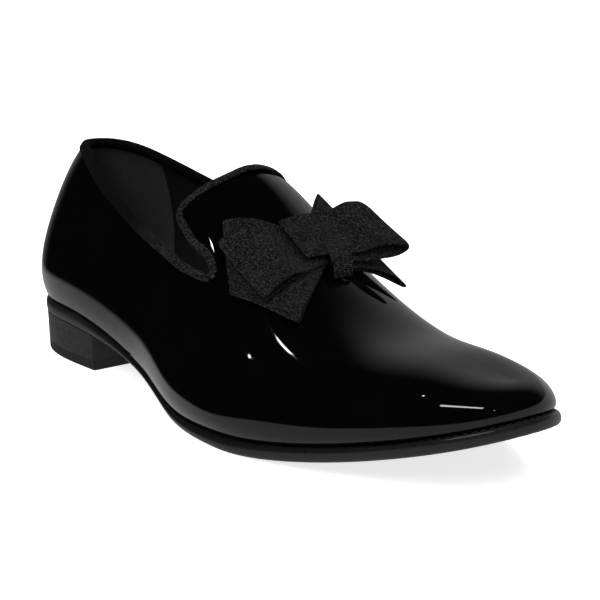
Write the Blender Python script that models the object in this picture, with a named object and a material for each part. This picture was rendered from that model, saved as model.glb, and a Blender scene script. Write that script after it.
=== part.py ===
"""Evening loafer, right shoe: outsole, stacked heel, insole, upper, binding and ribbon bow.

Worked out in millimetres from the back of the heel (x = 0, toe +X, lateral side -Y, floor z = 0),
then moved so that the middle of the box stands on the origin and written in metres.
"""
import bpy
import numpy as np
from mathutils import Vector
from mathutils.geometry import delaunay_2d_cdt

# Driving dimensions in millimetres
LENGTH = 292.0          # feather line, heel to toe
HEEL_HEIGHT = 17.5      # floor to the outsole at the heel seat
HEEL_LENGTH = 67.0      # back of the heel to its breast
HEEL_TAPER = 0.4        # how far the heel draws in at the floor
LIFTS = 4               # layers of the stacked heel
TREAD_BACK = 164.0      # flat spot under the ball of the foot, back edge
TREAD_FRONT = 190.0     # and front edge
TOE_SPRING = 20.0       # rise of the outsole at the toe tip
SPRING_POWER = 1.75     # how late the toe spring turns up
WALL = 1.6              # upper and its lining
GAP = 0.3               # clearance between pieces that meet
CREST_HEEL = 41.5       # the crest line starts this far in from the heel
CREST_TOE = 16.0        # and ends this far in from the toe
INSOLE = 2.5            # insole thickness
BINDING = 0.7           # grosgrain thickness on the topline
BINDING_LEG = 3.6       # its reach down each face of the wall
RIBBON = 0.6            # ribbon thickness of the bow

# The last, one row per station along the feather line
SECTION_COLUMNS = ("x", "lateral", "medial", "crest", "ridge", "shoulder", "bulge", "instep")
SECTIONS = np.array([
    [0, 0, 0, 100, 0, 1.00, 3.0, 0],
    [30, 28, 27.5, 99.5, 1.5, 1.00, 3.0, 1],
    [65, 31, 30, 96, 3, 1.00, 3.0, 8],
    [110, 34.5, 32, 88.2, 9.5, 1.00, 3.0, 15],
    [150, 46.3, 38, 68.4, 9.2, 1.00, 4.0, 11],
    [190, 52, 44.5, 51, 6.2, 0.95, 3.0, 1.5],
    [230, 44.5, 39, 40, 4, 0.88, 2.5, 0],
    [262, 34.3, 29, 38.8, 3, 0.80, 2.0, 0],
    [282, 24, 19.5, 36.3, 2, 0.72, 1.0, 0],
    [292, 0, 0, 35, 2, 0.70, 0.5, 0],
])

# Outsole: reach past the feather line, how far its lower edge is tucked in, thickness at the edge
SOLE_COLUMNS = ("x", "welt", "tuck", "thick")
SOLE_EDGE = np.array([
    [0, 1.0, 0.3, 6.0],
    [40, 1.0, 0.3, 5.7],
    [65, 0.9, 0.4, 5.0],
    [105, 0.5, 1.3, 2.8],
    [130, 0.9, 1.2, 2.7],
    [150, 1.5, 1.1, 3.3],
    [190, 2.3, 1.0, 4.8],
    [230, 2.4, 1.1, 5.2],
    [292, 2.5, 1.2, 5.2],
])

# Edge of the opening on each side: station along the foot, rise in degrees (90 is the crest)
THROAT_POINTS = 56
FLAT = np.array([260.0, 62.0])      # millimetres to one turn and to one radian of rise
THROAT_COLUMNS = ("station", "rise")
THROAT = np.array([
    [0, 61.5],
    [8, 61.0],
    [24, 57.4],
    [40, 52.2],
    [59, 46.4],
    [72, 43.0],
    [89, 39.6],
    [112, 39.2],
    [128.5, 41.6],
    [139.5, 45.0],
    [145.3, 48.2],
    [140.3, 50.0],
    [127.6, 48.6],
    [116.0, 48.8],
    [108.4, 50.6],
    [106.2, 55.0],
    [107.2, 61.0],
    [108.8, 69.5],
    [109.4, 78.5],
    [107.6, 90.0],
])

# Loops of the bow: ends of the ribbon at the knot (x, y, back then front), line of the fold at the tip,
# lift of the middle at the knot and at both ends of the fold, half opening at the knot and at the tip,
# sag by the square of the way past the crest, and how far the top layer runs on past the knot
LOOP_COLUMNS = ("knot", "fold", "lifts", "openings", "hang", "overrun")
LOOPS = {
    "bow_lower_lateral": (((164, 5), (181, 3)), ((139.6, -13.2), (166.6, -29.3), (200.2, -24.4)),
                          (1.05, 1.9, 1.9), (0.45, 0.95), 0, 0),
    "bow_lower_medial": (((164, 7), (183, 6)), ((146, 26), (166, 31.5), (190, 35)),
                         (1.05, 2.9, 1.9), (0.45, 1.1), 0.012, 0),
    "bow_upper_lateral": (((163, 4), (181, 4)), ((148, -19.7), (166.5, -23.2), (185, -26.5)),
                          (3.0, 5.3, 5.3), (0.45, 1.3), 0, 0),
    "bow_upper_medial": (((159.2, 7), (180, 7)), ((162.7, 32), (174.2, 35.5), (185.7, 39)),
                         (3.5, 9.8, 6.8), (1.05, 2.1), 0, 0.34),
}
# Band of the knot: x and y of its middle on the vamp, lift, half width
BAND_COLUMNS = ("x", "y", "lift", "half")
BAND = np.array([
    [172.5, 10.3, 5.45, 4.5],
    [177.0, 9.3, 5.45, 4.5],
    [181.0, 8.2, 5.35, 4.4],
    [184.0, 7.2, 4.7, 4.3],
    [186.3, 6.3, 3.5, 4.2],
    [187.6, 5.8, 2.1, 4.2],
    [188.0, 5.6, 0.75, 4.2],
])


def spline(xs, ys):
    """Natural cubic spline through the rows of a table."""
    xs, ys = np.asarray(xs, float), np.asarray(ys, float)
    n = len(xs)
    gap = np.diff(xs)
    left = np.eye(n)
    right = np.zeros(n)
    for i in range(1, n - 1):
        left[i, i - 1:i + 2] = gap[i - 1], 2 * (gap[i - 1] + gap[i]), gap[i]
        right[i] = 6 * ((ys[i + 1] - ys[i]) / gap[i] - (ys[i] - ys[i - 1]) / gap[i - 1])
    bend = np.linalg.solve(left, right)

    def value(x):
        x = np.clip(x, xs[0], xs[-1])
        i = np.clip(np.searchsorted(xs, x) - 1, 0, n - 2)
        a, b = xs[i + 1] - x, x - xs[i]
        return ((bend[i] * a**3 + bend[i + 1] * b**3) / (6 * gap[i])
                + (ys[i] / gap[i] - bend[i] * gap[i] / 6) * a
                + (ys[i + 1] / gap[i] - bend[i + 1] * gap[i] / 6) * b)
    return value


def smooth(t):
    t = np.clip(t, 0, 1)
    return t * t * (3 - 2 * t)


# The last as functions of turn (0 at the heel, 1 at the toe) and rise (0 feather, pi/2 crest)

def turn_of(x):
    return np.arccos(np.clip(1 - 2 * np.asarray(x, float) / LENGTH, -1, 1)) / np.pi


def x_of(turn):
    return LENGTH * (1 - np.cos(np.pi * np.asarray(turn, float))) / 2


lateral, medial = (spline(turn_of(SECTIONS[:, 0]), SECTIONS[:, i]) for i in (1, 2))
crest_z, ridge_y, shoulder, bulge, instep = (spline(SECTIONS[:, 0], SECTIONS[:, i]) for i in range(3, 8))
thickness = spline(SOLE_EDGE[:, 0], SOLE_EDGE[:, 3])


def welt(x):
    return np.interp(x, SOLE_EDGE[:, 0], SOLE_EDGE[:, 1])


def tuck(x):
    return np.interp(x, SOLE_EDGE[:, 0], SOLE_EDGE[:, 2])


def underside(x):
    """Floor side of the outsole: heel seat, arch, flat tread, toe spring."""
    arch = smooth((TREAD_BACK - x) / (TREAD_BACK - 40))
    toe = np.clip((x - TREAD_FRONT) / (LENGTH - TREAD_FRONT), 0, None)
    return HEEL_HEIGHT * arch + TOE_SPRING * toe**SPRING_POWER


def feather(side, turn):
    """Line where the upper meets the outsole; side is -1 lateral, +1 medial."""
    x = x_of(turn)
    return np.stack([x, np.where(side < 0, -lateral(turn), medial(turn)), underside(x) + thickness(x)], -1)


def outward(side, turn):
    """Plan direction out of the feather line."""
    step = 1e-3
    d = feather(side, np.clip(turn + step, 0, 1)) - feather(side, np.clip(turn - step, 0, 1))
    n = np.stack([-d[..., 1], d[..., 0]], -1) * np.sign(side)[..., None]
    n = np.where(((turn <= 0) | (turn >= 1))[..., None],
                 np.stack([np.where(turn < 0.5, -1.0, 1.0), 0 * turn], -1), n)
    return n / np.linalg.norm(n, axis=-1)[..., None]


def crest(turn):
    x = x_of(turn)
    along = CREST_HEEL + (LENGTH - CREST_HEEL - CREST_TOE) * x / LENGTH
    return np.stack([along, ridge_y(x), crest_z(x)], -1)


def last(side, turn, rise):
    """Outside of the upper."""
    side, turn, rise = np.broadcast_arrays(*(np.asarray(a, float) for a in (side, turn, rise)))
    x = x_of(turn)
    k = shoulder(x)
    across = 1 - np.clip(np.cos(rise), 0, 1)**k
    up = np.clip(np.sin(rise), 0, 1)**k
    foot = feather(side, turn)
    p = foot + (crest(turn) - foot) * np.stack([across, across, up], -1)
    swell = bulge(x) * up * (1 - up)**4 / 0.08192
    arch = np.where(side > 0, instep(x) * np.sin(2 * rise), 0)
    p[..., :2] += outward(side, turn) * (swell + arch)[..., None]
    return p


def wrapped(ring, rise):
    """The last again, but free to cross the heel line, the toe line and the crest.

    ring runs 0 to 1 along the lateral side, then 1 to 2 back along the medial one.
    """
    over = rise > np.pi / 2
    ring = np.mod(np.where(over, -ring, ring), 2.0)
    rise = np.where(over, np.pi - rise, rise)
    return last(np.where(ring < 1, -1.0, 1.0), np.where(ring < 1, ring, 2 - ring), rise)


def frame_on(ring, rise):
    """Point, the two slopes and the outward normal of the last."""
    step = 1e-4
    du = (wrapped(ring + step, rise) - wrapped(ring - step, rise)) / (2 * step)
    ds = (wrapped(ring, rise + step) - wrapped(ring, rise - step)) / (2 * step)
    n = np.cross(du, ds)
    n /= np.linalg.norm(n, axis=-1)[..., None]
    return wrapped(ring, rise), du, ds, n


def moved_on(ring, rise, shift):
    """Ring and rise after a small step along the last."""
    p, du, ds, n = frame_on(ring, rise)
    a, b, c = (du * du).sum(-1), (du * ds).sum(-1), (ds * ds).sum(-1)
    e, f = (du * shift).sum(-1), (ds * shift).sum(-1)
    det = a * c - b * b
    return ring + (c * e - b * f) / det, rise + (a * f - b * e) / det


def vamp(x, y):
    """Ring and rise of the place on the vamp above a point of the plan."""
    ring = np.where(y < ridge_y(x), turn_of(x), 2 - turn_of(x))
    rise = np.full(np.shape(x), 1.2)
    for _ in range(30):
        p, du, ds, n = frame_on(ring, rise)
        ex, ey = x - p[..., 0], y - p[..., 1]
        det = du[..., 0] * ds[..., 1] - du[..., 1] * ds[..., 0]
        det = np.where(np.abs(det) < 1e-6, 1e-6, det)
        ring = ring + np.clip((ex * ds[..., 1] - ey * ds[..., 0]) / det, -0.03, 0.03)
        rise = rise + np.clip((du[..., 0] * ey - du[..., 1] * ex) / det, -0.15, 0.15)
    return ring, rise


# Mesh helpers: a piece is its vertices and its faces

def vertex_normals(points, faces):
    normals = np.zeros_like(points)
    for face in faces:
        a, b, c = points[face[0]], points[face[1]], points[face[-1]]
        normals[list(face)] += np.cross(b - a, c - a)
    return normals / np.linalg.norm(normals, axis=1)[:, None]


def open_edges(faces):
    """Directed edges that belong to one face only."""
    seen = {(f[i], f[(i + 1) % len(f)]) for f in faces for i in range(len(f))}
    return [e for e in seen if (e[1], e[0]) not in seen]


def shell(points, faces, outer, inner):
    """Closed wall between two offsets of an open sheet."""
    n = vertex_normals(points, faces)
    count = len(points)
    solid = [tuple(f) for f in faces]
    solid += [tuple(i + count for i in reversed(f)) for f in faces]
    solid += [(b, a, a + count, b + count) for a, b in open_edges(faces)]
    return np.concatenate([points + n * outer, points - n * inner]), solid


def grid_faces(rows, columns):
    return [(i * columns + j, i * columns + j + 1, (i + 1) * columns + j + 1, (i + 1) * columns + j)
            for i in range(rows - 1) for j in range(columns - 1)]


def slab(turns, rows, offset, height):
    """Closed piece on the feather outline: a stack of outlines, capped below and above.

    offset(row, x) is the reach past the feather line, height(row, x) the level.
    """
    rings = []
    for row in rows:
        for side in (-1.0, 1.0):
            line = feather(np.full_like(turns, side), turns)
            x = line[:, 0].copy()
            line[:, :2] += outward(np.full_like(turns, side), turns) * offset(row, x)[:, None]
            line[:, 2] = height(row, x)
            rings.append(line)
    n = len(turns)
    closed_back = turns[0] == 0
    closed_front = turns[-1] == 1
    points = np.concatenate(rings)

    def vertex(row, side, i):
        if (i == 0 and closed_back) or (i == n - 1 and closed_front):
            side = 0
        return (2 * row + side) * n + i

    def quad(*corners):
        faces.append(tuple(vertex(*corner) for corner in corners))

    faces = []
    top = len(rows) - 1
    for i in range(n - 1):
        j = i + 1
        quad((0, 0, i), (0, 1, i), (0, 1, j), (0, 0, j))
        quad((top, 0, i), (top, 0, j), (top, 1, j), (top, 1, i))
        for r in range(top):
            quad((r, 0, i), (r, 0, j), (r + 1, 0, j), (r + 1, 0, i))
            quad((r, 1, j), (r, 1, i), (r + 1, 1, i), (r + 1, 1, j))
    if not closed_front:
        for r in range(top):
            quad((r, 0, n - 1), (r, 1, n - 1), (r + 1, 1, n - 1), (r + 1, 0, n - 1))
    faces = [tuple(dict.fromkeys(f)) for f in faces]
    return tidy(points, [f for f in faces if len(f) > 2])


def tidy(points, faces):
    """Drop the vertices that no face uses."""
    used = sorted({i for f in faces for i in f})
    place = {old: new for new, old in enumerate(used)}
    return points[used], [tuple(place[i] for i in f) for f in faces]


# The pieces

def outsole():
    turns = np.linspace(0, 1, 43)
    rows = [(1.0, 0.0), (0.0, 0.24), (0.0, 0.8), (0.25, 1.0)]
    return slab(turns, rows,
                lambda row, x: welt(x) - row[0] * (tuck(x) if row[1] == 0 else 2.0),
                lambda row, x: underside(x) + row[1] * (thickness(x) - GAP))


def heel():
    turns = turn_of(np.linspace(0, 1, 22)**1.6 * HEEL_LENGTH)
    groove = 0.02
    rows = [(0.0, 0.5)]
    for lift in range(LIFTS):
        rows.append(((lift + groove) / LIFTS, 0.0))
        rows.append(((lift + 1 - groove) / LIFTS, 0.0))
        rows.append(((lift + 1) / LIFTS, 0.3))
    return slab(turns, rows,
                lambda row, x: welt(x) - tuck(x) - HEEL_TAPER * (1 - row[0]) - row[1],
                lambda row, x: row[0] * (underside(x) - GAP))


def insole():
    turns = np.linspace(0, 1, 35)
    rows = [(0.0, 0.0), (0.0, 0.75), (0.8, 1.0)]
    return slab(turns, rows,
                lambda row, x: -WALL - 0.7 - row[0] + 0 * x,
                lambda row, x: underside(x) + thickness(x) + row[1] * INSOLE)


def throat_line():
    """Turn and rise along the edge of the opening, heel line to crest, closest at the slit."""
    rows = np.stack([turn_of(THROAT[:, 0]), np.radians(THROAT[:, 1])], -1)
    before = rows[1:3][::-1] * (-1, 1)
    after = rows[-3:-1][::-1] * (1, -1) + (0, np.pi)
    rows = np.concatenate([before, rows, after])
    along = np.concatenate([[0], np.cumsum(np.linalg.norm(np.diff(rows * FLAT, axis=0), axis=1))])
    slit = along[2 + np.argmax(THROAT[:, 0])]
    fine = np.linspace(along[2], along[-3], 2000)
    dense = np.cumsum(1 + 3 * np.exp(-((fine - slit) / 10)**2))
    t = np.interp(np.linspace(dense[0], dense[-1], THROAT_POINTS), dense, fine)
    turn, rise = spline(along, rows[:, 0])(t), spline(along, rows[:, 1])(t)
    turn[0], rise[-1] = 0, np.pi / 2
    return turn, rise


def encloses(outline, point):
    """Whether a closed outline goes round a point."""
    a, b = outline, np.roll(outline, -1, 0)
    crosses = (a[:, 1] > point[1]) != (b[:, 1] > point[1])
    a, b = a[crosses], b[crosses]
    meets = a[:, 0] + (point[1] - a[:, 1]) / (b[:, 1] - a[:, 1]) * (b[:, 0] - a[:, 0])
    return (point[0] < meets).sum() % 2 == 1


def upper():
    """One hollow wall, open at the throat and underneath."""
    turn, rise = throat_line()
    throat = np.stack([turn, rise], -1)
    turns = np.linspace(0, 1, 38)
    rises = np.radians(np.linspace(0, 90, 13))
    heel_line = [(0, r) for r in rises[1:] if r < rise[0] - 0.04]
    feather_line = [(t, 0) for t in turns]
    toe_line = [(1, r) for r in rises[1:]]
    crest_line = [(t, rises[-1]) for t in turns[::-1][1:] if t > turn[-1] + 0.01]
    edge = np.array(heel_line[::-1] + feather_line + toe_line + crest_line + list(map(tuple, throat[::-1])))
    inside = np.array([(t, r) for t in turns[1:-1] for r in rises[1:-1]]
                      + [((turns[-2] + 1) / 2, (rises[-2] + rises[-1]) / 2)])
    near = np.linalg.norm((inside[:, None] - throat[None]) * FLAT, axis=2).min(1) > 2.6
    flat = np.concatenate([edge, inside[near]]) * FLAT
    loop = list(range(len(edge)))
    verts, _, tris, source, _, _ = delaunay_2d_cdt([Vector(p) for p in flat], [], [loop], 1, 1e-5, True)
    flat = np.concatenate([edge, inside[near]])[[s[0] for s in source]]
    opening = np.concatenate([throat, [(0, rises[-1])]])
    tris = [f for f in tris if not encloses(opening, flat[list(f)].mean(0))]
    used = sorted({i for f in tris for i in f})
    shared = {i for i in used if flat[i, 0] in (0.0, 1.0) or flat[i, 1] == rises[-1]}
    side_b = {}
    extra = []
    for i in used:
        if i in shared:
            side_b[i] = i
        else:
            side_b[i] = len(flat) + len(extra)
            extra.append(i)
    points = np.concatenate([last(-1.0, flat[:, 0], flat[:, 1]), last(1.0, flat[extra, 0], flat[extra, 1])])
    faces = [tuple(f) for f in tris] + [tuple(side_b[i] for i in reversed(f)) for f in tris]
    points, faces = tidy(points, faces)
    return shell(points, faces, 0.0, WALL)


def topline_binding():
    """Folded ribbon over the whole edge of the opening."""
    turn, rise = throat_line()
    ring = np.concatenate([turn, (2 - turn)[::-1][1:-1]])
    rise = np.concatenate([rise, rise[::-1][1:-1]])
    p, du, ds, n = frame_on(ring, rise)
    run = np.roll(p, -1, 0) - np.roll(p, 1, 0)
    run /= np.linalg.norm(run, axis=1)[:, None]
    into = np.cross(run, n)
    leg_ring, leg_rise = moved_on(ring, rise, into * BINDING_LEG / 2)
    leg = frame_on(leg_ring, leg_rise)
    leg_ring, leg_rise = moved_on(leg_ring, leg_rise, into * BINDING_LEG / 2)
    end = frame_on(leg_ring, leg_rise)
    out, deep = GAP, -WALL - GAP - 0.2
    section = []
    for level in (out, out + BINDING):
        section.append(end[0] + end[3] * level)
    section.append(leg[0] + leg[3] * (out + BINDING))
    for reach, level in ((0.1, out + BINDING), (GAP + BINDING, -0.2), (GAP + BINDING, -WALL + 0.2),
                         (0.1, deep - BINDING)):
        section.append(p - into * reach + n * level)
    for level in (deep - BINDING, deep):
        section.append(end[0] + end[3] * level)
    for level in (deep, out):
        section.append(p - into * GAP + n * level)
    section.append(leg[0] + leg[3] * out)
    rows, count = len(section), len(p)
    faces = []
    for r in range(rows):
        for i in range(count):
            s, j = (r + 1) % rows, (i + 1) % count
            faces.append((r * count + i, r * count + j, s * count + j, s * count + i))
    return np.concatenate(section), faces


def on_vamp(x, y, lift, hang=0.0):
    """Place above the vamp; past the crest the stiff ribbon runs on level instead of bending down."""
    past = np.clip(y - ridge_y(x) - 3, 0, None)
    p, du, ds, n = frame_on(*vamp(x, y - past))
    run_on = np.stack([0 * past, past, -hang * past**2], -1)
    return p + run_on + n * np.asarray(lift)[..., None]


def bow_loop(name):
    """A ribbon that leaves the knot, folds at its tip and comes back on top."""
    knot, fold, lifts, openings, hang, overrun = LOOPS[name]
    w = np.linspace(0, 1, 7)
    knot = np.stack([np.interp(w, (0, 1), column) for column in np.transpose(knot)], -1)
    fold = np.stack([np.interp(w, (0, 0.5, 1), column) for column in np.transpose(fold)], -1)
    bend = np.sin(np.linspace(0, np.pi / 2, 6))
    out = np.concatenate([np.linspace(0, 0.8, 7)[:-1], 0.8 + 0.2 * bend])
    gape = np.where(out < 0.8, openings[0] + (openings[1] - openings[0]) * smooth((out - 0.25) / 0.45),
                    openings[1] * np.sqrt(np.clip(1 - ((out - 0.8) / 0.2)**2, 0, 1)))
    reach = np.concatenate([out, out[::-1][1:]])
    layer = np.concatenate([-gape, gape[::-1][1:]])
    if overrun:
        reach = np.concatenate([reach, [-overrun / 2, -overrun]])
        layer = np.concatenate([layer, [openings[0]] * 2])
    rise = smooth((reach - 0.25) / 0.4)[:, None]
    tip_lift = lifts[1] + (lifts[2] - lifts[1]) * w
    lift = lifts[0] + (tip_lift - lifts[0]) * rise + layer[:, None]
    plan = knot + (fold - knot) * reach[:, None, None]
    sheet = on_vamp(plan[..., 0], plan[..., 1], lift, hang)
    return shell(sheet.reshape(-1, 3), grid_faces(*sheet.shape[:2]), RIBBON / 2, RIBBON / 2)


def bow_band():
    """Short band that wraps the front of the bow and holds it down on the vamp."""
    w = np.linspace(-1, 1, 6)
    x, y, lift, half = (BAND[:, i:i + 1] for i in range(4))
    sheet = on_vamp(x + 0 * w, y + half * w, lift + 0 * w)
    return shell(sheet.reshape(-1, 3), grid_faces(*sheet.shape[:2]), RIBBON / 2, RIBBON / 2)


def add(name, points, faces):
    mesh = bpy.data.meshes.new(name)
    mesh.from_pydata([tuple(p) for p in points * 0.001], [], faces)
    mesh.update()
    thing = bpy.data.objects.new(name, mesh)
    bpy.context.scene.collection.objects.link(thing)


for thing in list(bpy.data.objects):
    bpy.data.objects.remove(thing)

pieces = {
    "outsole": outsole(),
    "heel": heel(),
    "insole": insole(),
    "upper": upper(),
    "topline_binding": topline_binding(),
}
for loop_name in LOOPS:
    pieces[loop_name] = bow_loop(loop_name)
pieces["bow_band"] = bow_band()

everything = np.concatenate([points for points, faces in pieces.values()])
low, high = everything.min(0), everything.max(0)
middle = np.array([(low[0] + high[0]) / 2, (low[1] + high[1]) / 2, low[2]])
for piece_name, (points, faces) in pieces.items():
    add(piece_name, points - middle, faces)
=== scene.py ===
"""Black patent evening loafer, right shoe, dressed over its CAD solids.

Every surface is worked out in millimetres from the back of the heel (x = 0, toe +X, lateral side -Y,
floor z = 0), as the solids are, and written in metres in the shared frame.
"""

import bmesh
import bpy
import numpy as np
from mathutils import Matrix, Vector
from mathutils.geometry import delaunay_2d_cdt


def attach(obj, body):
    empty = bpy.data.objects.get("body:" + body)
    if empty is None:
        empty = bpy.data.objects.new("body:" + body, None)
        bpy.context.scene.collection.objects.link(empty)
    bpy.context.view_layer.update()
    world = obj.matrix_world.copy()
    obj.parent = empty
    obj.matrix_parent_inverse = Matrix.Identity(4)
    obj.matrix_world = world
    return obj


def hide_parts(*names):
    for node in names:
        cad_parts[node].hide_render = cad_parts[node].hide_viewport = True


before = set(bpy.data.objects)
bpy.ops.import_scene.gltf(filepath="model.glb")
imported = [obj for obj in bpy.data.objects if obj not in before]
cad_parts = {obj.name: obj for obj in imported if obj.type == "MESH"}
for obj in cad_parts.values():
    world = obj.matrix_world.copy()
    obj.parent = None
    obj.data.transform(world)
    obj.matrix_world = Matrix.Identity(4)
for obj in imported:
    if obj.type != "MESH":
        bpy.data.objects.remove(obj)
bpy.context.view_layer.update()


# Upper
# One cut of black patent leather, lasted over the foot's form and open at topline and throat.
# The clear lacquer over the smooth grain gives it a mirror gloss with a faint ripple.
ORIGIN = np.array([146.06, -3.49, 0.0])
LENGTH = 292.0
HEEL_HEIGHT = 17.5
SEAT_LEVEL = 40.0
TREAD_BACK = 164.0
TREAD_FRONT = 190.0
TOE_SPRING = 20.0
SPRING_POWER = 1.75
WALL = 1.6
PATENT = 0.8
CREST_HEEL = 41.5
CREST_TOE = 16.0
# Share of the height where the swell is fullest; rise from which the crest is rounded, over how many
# degrees the rounding comes in, and how far it reaches across, in radians
SWELL_AT = 0.2
ROUND_FROM = 58.0
ROUND_OVER = 26.0
ROUND_REACH = 0.3
# Clear space that grid points keep from the edge of the opening, and in turn and rise from its ends
EDGE_CLEAR = 0.9
TURN_CLEAR = 0.004
RISE_CLEAR = 0.01
# x, lateral, medial, crest, ridge, shoulder, bulge, instep
SECTIONS = np.array([
    [0, 0, 0, 100, 0, 1.00, 3.0, 0],
    [30, 28, 27.5, 99.5, 1.5, 1.00, 3.0, 1],
    [65, 31, 30, 96, 3, 1.00, 3.0, 8],
    [110, 34.5, 32, 88.2, 9.5, 1.00, 3.0, 15],
    [150, 46.3, 38, 68.4, 9.2, 1.00, 4.0, 11],
    [190, 52, 44.5, 51, 6.2, 0.95, 3.0, 1.5],
    [230, 44.5, 39, 40, 4, 0.88, 2.5, 0],
    [262, 34.3, 29, 38.8, 3, 0.80, 2.0, 0],
    [282, 24, 19.5, 36.3, 2, 0.72, 1.0, 0],
    [292, 0, 0, 35, 2, 0.70, 0.5, 0],
])
# Edge of the opening: station along the foot, rise in degrees
THROAT = np.array([
    [0, 61.5],
    [8, 61.0],
    [24, 57.4],
    [40, 52.2],
    [59, 46.4],
    [72, 43.0],
    [89, 39.6],
    [112, 39.2],
    [128.5, 41.6],
    [139.5, 45.0],
    [145.3, 48.2],
    [140.3, 50.0],
    [127.6, 48.6],
    [116.0, 48.8],
    [108.4, 50.6],
    [106.2, 55.0],
    [107.2, 61.0],
    [108.8, 69.5],
    [109.4, 78.5],
    [107.6, 90.0],
])
# Millimetres that a whole turn and a radian of rise take when the upper is laid flat
FLAT = np.array([260.0, 62.0])
# Extra points at the foot of the slit, and the millimetres over which they thin out
SLIT_EXTRA = 3.0
SLIT_SPREAD = 10.0
# Outsole's edge: x, reach past the feather line, tuck of its lower edge, thickness
SOLE_EDGE = np.array([
    [0, 1.0, 0.3, 6.0],
    [40, 1.0, 0.3, 5.7],
    [65, 0.9, 0.4, 5.0],
    [105, 0.5, 1.3, 2.8],
    [130, 0.9, 1.2, 2.7],
    [150, 1.5, 1.1, 3.3],
    [190, 2.3, 1.0, 4.8],
    [230, 2.4, 1.1, 5.2],
    [292, 2.5, 1.2, 5.2],
])


def spline(xs, ys):
    """Natural cubic spline through the rows of a table."""
    xs, ys = np.asarray(xs, float), np.asarray(ys, float)
    n = len(xs)
    gap = np.diff(xs)
    left, right = np.eye(n), np.zeros(n)
    for i in range(1, n - 1):
        left[i, i - 1:i + 2] = gap[i - 1], 2 * (gap[i - 1] + gap[i]), gap[i]
        right[i] = 6 * ((ys[i + 1] - ys[i]) / gap[i] - (ys[i] - ys[i - 1]) / gap[i - 1])
    bend = np.linalg.solve(left, right)

    def value(x):
        """Cubic of the span that holds x, from its ends' values and bends."""
        x = np.clip(x, xs[0], xs[-1])
        i = np.clip(np.searchsorted(xs, x) - 1, 0, n - 2)
        a, b = xs[i + 1] - x, x - xs[i]
        return ((bend[i] * a**3 + bend[i + 1] * b**3) / (6 * gap[i])
                + (ys[i] / gap[i] - bend[i] * gap[i] / 6) * a
                + (ys[i + 1] / gap[i] - bend[i + 1] * gap[i] / 6) * b)
    return value


def smooth(t):
    """Step from 0 to 1 with level ends: t squared times three minus two t."""
    t = np.clip(t, 0, 1)
    return t * t * (3 - 2 * t)


def turn_of(x):
    """Turn along the feather line, 0 at the heel and 1 at the toe, so that both ends come out round."""
    return np.arccos(np.clip(1 - 2 * np.asarray(x, float) / LENGTH, -1, 1)) / np.pi


def x_of(turn):
    """Station along the foot at a turn: half the length times one less the cosine of the turn."""
    return LENGTH * (1 - np.cos(np.pi * np.asarray(turn, float))) / 2


lateral, medial = (spline(turn_of(SECTIONS[:, 0]), SECTIONS[:, i]) for i in (1, 2))
crest_z, ridge_y, shoulder, bulge, instep = (spline(SECTIONS[:, 0], SECTIONS[:, i]) for i in range(3, 8))
thickness = spline(SOLE_EDGE[:, 0], SOLE_EDGE[:, 3])


def underside(x):
    """Floor side of the outsole: level seat, S-shaped arch, level tread, then a power curve up the toe."""
    arch = smooth((TREAD_BACK - x) / (TREAD_BACK - SEAT_LEVEL))
    toe = np.clip((x - TREAD_FRONT) / (LENGTH - TREAD_FRONT), 0, None)
    return HEEL_HEIGHT * arch + TOE_SPRING * toe**SPRING_POWER


def feather(side, turn):
    """Line where the upper meets the outsole: side is -1 lateral, +1 medial."""
    x = x_of(turn)
    return np.stack([x, np.where(side < 0, -lateral(turn), medial(turn)), underside(x) + thickness(x)], -1)


def outward(side, turn):
    """Plan direction out of the feather line, from the slope between two near points."""
    step = 1e-3
    d = feather(side, np.clip(turn + step, 0, 1)) - feather(side, np.clip(turn - step, 0, 1))
    n = np.stack([-d[..., 1], d[..., 0]], -1) * np.sign(side)[..., None]
    ends = np.stack([np.where(turn < 0.5, -1.0, 1.0), 0 * turn], -1)
    n = np.where(((turn <= 0) | (turn >= 1))[..., None], ends, n)
    return n / np.linalg.norm(n, axis=-1)[..., None]


def last(side, turn, rise):
    """Outside of the upper: a quarter superellipse from feather line to crest, plus a low swell all round
    and, on the medial side, the sine of twice the rise for the full instep."""
    side, turn, rise = np.broadcast_arrays(*(np.asarray(a, float) for a in (side, turn, rise)))
    x = x_of(turn)
    k = shoulder(x)
    across = 1 - np.clip(np.cos(rise), 0, 1)**k
    up = np.clip(np.sin(rise), 0, 1)**k
    foot = feather(side, turn)
    along = CREST_HEEL + (LENGTH - CREST_HEEL - CREST_TOE) * x / LENGTH
    top = np.stack([along, ridge_y(x), crest_z(x)], -1)
    p = foot + (top - foot) * np.stack([across, across, up], -1)
    swell = bulge(x) * up * (1 - up)**4 / (SWELL_AT * (1 - SWELL_AT)**4)
    arch = np.where(side > 0, instep(x) * np.sin(2 * rise), 0)
    p[..., :2] += outward(side, turn) * (swell + arch)[..., None]
    return p


def wrapped(ring, rise):
    """The last, free to cross heel, toe and crest: ring is 0 to 1 on the lateral side and 1 to 2 on the
    medial, and a rise past the crest comes down on the other side."""
    over = rise > np.pi / 2
    ring = np.mod(np.where(over, -ring, ring), 2.0)
    rise = np.where(over, np.pi - rise, rise)
    return last(np.where(ring < 1, -1.0, 1.0), np.where(ring < 1, ring, 2 - ring), rise)


def lasted(ring, rise):
    """The last with its crest rounded: near the crest a point is the weighted mean of those across it."""
    near = smooth((rise - np.radians(ROUND_FROM)) / np.radians(ROUND_OVER))
    steps = np.linspace(-0.75, 0.75, 7)
    weights = (1 - np.abs(steps)) / (1 - np.abs(steps)).sum()
    return sum(w * wrapped(ring, rise + ROUND_REACH * s * near) for s, w in zip(steps, weights))


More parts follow.
